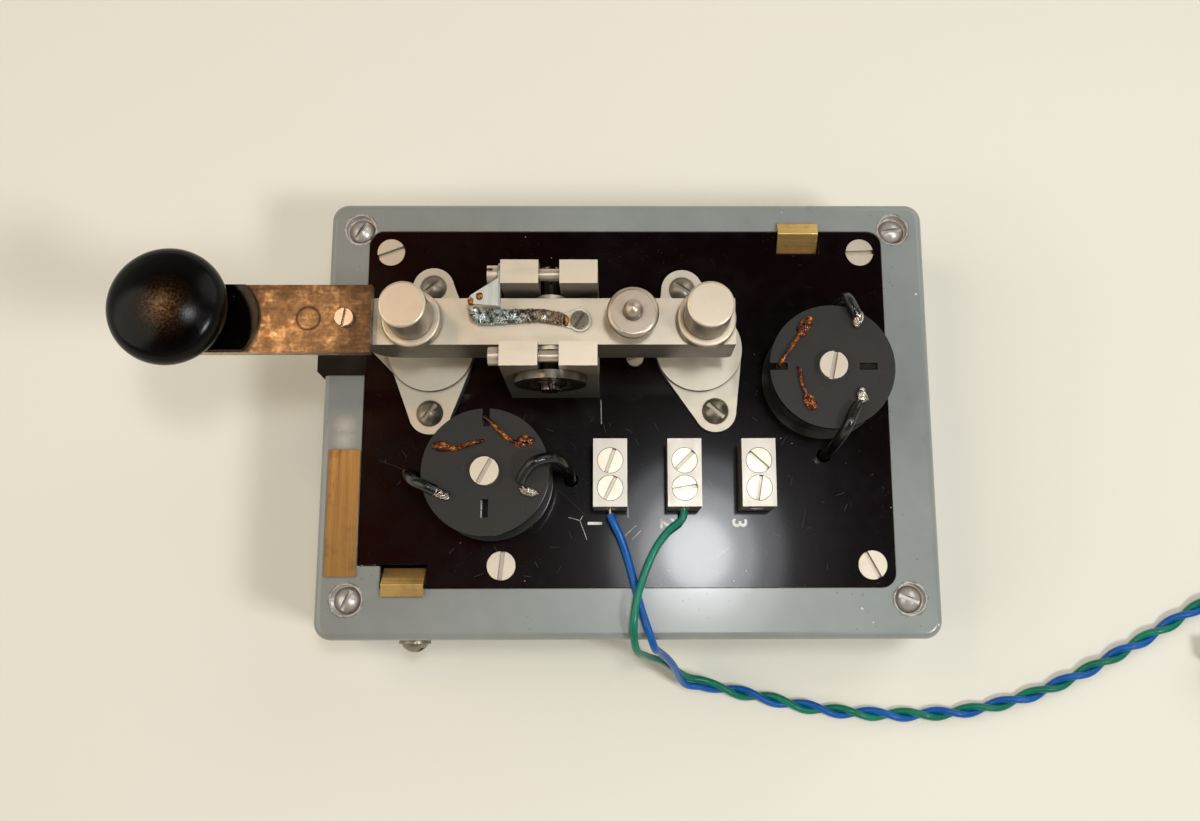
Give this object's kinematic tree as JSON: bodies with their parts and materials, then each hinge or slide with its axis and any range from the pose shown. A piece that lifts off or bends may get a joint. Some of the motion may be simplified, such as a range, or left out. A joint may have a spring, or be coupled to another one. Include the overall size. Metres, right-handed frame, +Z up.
{
  "type": "telegraph key",
  "caption": "Desk telegraph key: rocking lever with knob, contact screws and tension spring on a black deck in a grey cast case, with chokes, terminals and a twisted lead.",
  "frame": {"origin": "middle of the case's base on the surface it stands on", "axes": "+X from the knob towards the back contact, +Y towards the back of the case, +Z up"},
  "size_m": [0.3786, 0.1723, 0.1011],
  "materials": {
    "grey_enamel": "gloss grey-green stove enamel",
    "floor_steel": "satin grey paint",
    "deck_resin": "polished black laminate",
    "bright_steel": "worn bright plate",
    "nickel": "satin nickel plate",
    "dull_nickel": "worn nickel plate",
    "silver": "bright silver",
    "terminal_nickel": "bright nickel plate",
    "label_brass": "brushed",
    "clip_brass": "satin",
    "arm_bronze": "brown satin lacquer",
    "ebonite": "polished black",
    "choke_moulding": "grey-black moulding",
    "winding_tape": "varnished tape",
    "black_sleeving": "black sleeving",
    "nut_brass": "plain",
    "link_sleeving": "red insulated wire",
    "tinned_copper": "tinned",
    "braid": "tinned copper braid",
    "spring_steel": "plain",
    "blue_insulation": "satin",
    "green_insulation": "satin",
    "pair_insulation": "satin",
    "tie_tape": "woven tape"
  },
  "bodies": {
    "base": {"case": "grey_enamel", "floor_plate": "floor_steel", "deck_plate": "deck_resin", "case_screws": "bright_steel", "deck_screws": "bright_steel", "earth_screw": "bright_steel", "plate_screws": "bright_steel", "bracket_screws": "bright_steel", "choke_screws": "bright_steel", "spring_anchor": "bright_steel", "fulcrum_bracket": "nickel", "front_contact_plate": "nickel", "back_contact_plate": "nickel", "front_contact_disc": "nickel", "back_contact_disc": "nickel", "clamp_screws": "nickel", "front_pivot_screw": "nickel", "rear_pivot_screw": "nickel", "terminal_1": "terminal_nickel", "terminal_2": "terminal_nickel", "terminal_3": "terminal_nickel", "terminal_screws": "terminal_nickel", "label_strip": "label_brass", "clip_rivets": "clip_brass", "left_choke_bobbin": "choke_moulding", "right_choke_bobbin": "choke_moulding", "left_choke_winding": "winding_tape", "right_choke_winding": "winding_tape", "choke_leads": "black_sleeving", "deck_nuts": "nut_brass", "link_wires": "link_sleeving", "pigtail_lug": "tinned_copper", "tension_spring": "spring_steel", "blue_lead": "blue_insulation", "green_lead": "green_insulation", "twisted_lead": "pair_insulation", "lead_coil": "pair_insulation", "lead_ends": "pair_insulation", "coil_tie": "tie_tape"},
    "lever": {"lever": "nickel", "knob_arm": "arm_bronze", "arm_rivet": "arm_bronze", "lever_screws": "tinned_copper", "knob_foot": "ebonite", "knob": "ebonite", "knob_screw": "dull_nickel", "pigtail_ring": "tinned_copper", "pigtail_braid": "braid"},
    "front_tip": {"front_contact_tip": "silver"},
    "front_screw": {"front_contact_screw": "nickel"},
    "front_nut": {"front_locknut": "nickel"},
    "back_tip": {"back_contact_tip": "silver"},
    "back_screw": {"back_contact_screw": "nickel"},
    "back_nut": {"back_locknut": "nickel"},
    "tension_rod": {"spring_rod": "dull_nickel"},
    "tension_nut": {"tension_nut": "dull_nickel"},
    "pivot_nut": {"pivot_disc_nut": "dull_nickel"},
    "front_clip": {"front_cover_clip": "clip_brass"},
    "rear_clip": {"rear_cover_clip": "clip_brass"}
  },
  "joints": [
    {"name": "lever_rock", "type": "hinge", "parent": "base", "child": "lever", "pos_m": [-0.0211, 0.019, 0.074], "axis": [0, -1, 0], "range_deg": [0, 1.25], "stiffness_Nm_per_rad": 1, "springref_deg": -8.59, "deforming": ["pigtail_braid", "tension_spring"]},
    {"name": "front_contact_slide", "type": "slide", "parent": "lever", "child": "front_tip", "axis": [0, 0, 1], "range_m": [0, 0.001]},
    {"name": "front_contact_turn", "type": "hinge", "parent": "front_tip", "child": "front_screw", "pos_m": [-0.0577, 0.019, 0.074], "axis": [0, 0, 1], "range_deg": [0, 449]},
    {"name": "front_locknut_turn", "type": "hinge", "parent": "lever", "child": "front_nut", "pos_m": [-0.0577, 0.019, 0.074], "axis": [0, 0, 1], "range_deg": [0, 45]},
    {"name": "back_contact_slide", "type": "slide", "parent": "lever", "child": "back_tip", "axis": [0, 0, 1], "range_m": [0, 0.001]},
    {"name": "back_contact_turn", "type": "hinge", "parent": "back_tip", "child": "back_screw", "pos_m": [0.0204, 0.019, 0.074], "axis": [0, 0, 1], "range_deg": [0, 449]},
    {"name": "back_locknut_turn", "type": "hinge", "parent": "lever", "child": "back_nut", "pos_m": [0.0204, 0.019, 0.074], "axis": [0, 0, 1], "range_deg": [0, 45]},
    {"name": "tension_rod_slide", "type": "slide", "parent": "lever", "child": "tension_rod", "axis": [0, 0, 1], "range_m": [-0.0015, 0.0015], "deforming": ["tension_spring"]},
    {"name": "tension_nut_turn", "type": "hinge", "parent": "lever", "child": "tension_nut", "pos_m": [0.0008, 0.019, 0.074], "axis": [0, 0, 1], "range_deg": [-674, 674]},
    {"name": "pivot_nut_turn", "type": "hinge", "parent": "base", "child": "pivot_nut", "pos_m": [-0.0211, 0.019, 0.074], "axis": [0, -1, 0], "range_deg": [0, 90]},
    {"name": "front_clip_flex", "type": "hinge", "parent": "base", "child": "front_clip", "pos_m": [-0.064, -0.0493, 0.0351], "axis": [-1, 0, 0], "range_deg": [0, 4], "stiffness_Nm_per_rad": 1},
    {"name": "rear_clip_flex", "type": "hinge", "parent": "base", "child": "rear_clip", "pos_m": [0.0511, 0.0548, 0.0351], "axis": [1, 0, 0], "range_deg": [0, 4], "stiffness_Nm_per_rad": 1}
  ],
  "couplings": [
    {"joint": "front_contact_slide", "follows": "front_contact_turn", "m_per_rad": 0.00012732},
    {"joint": "back_contact_slide", "follows": "back_contact_turn", "m_per_rad": 0.00012732},
    {"joint": "tension_rod_slide", "follows": "tension_nut_turn", "m_per_rad": -0.00012732}
  ]
}
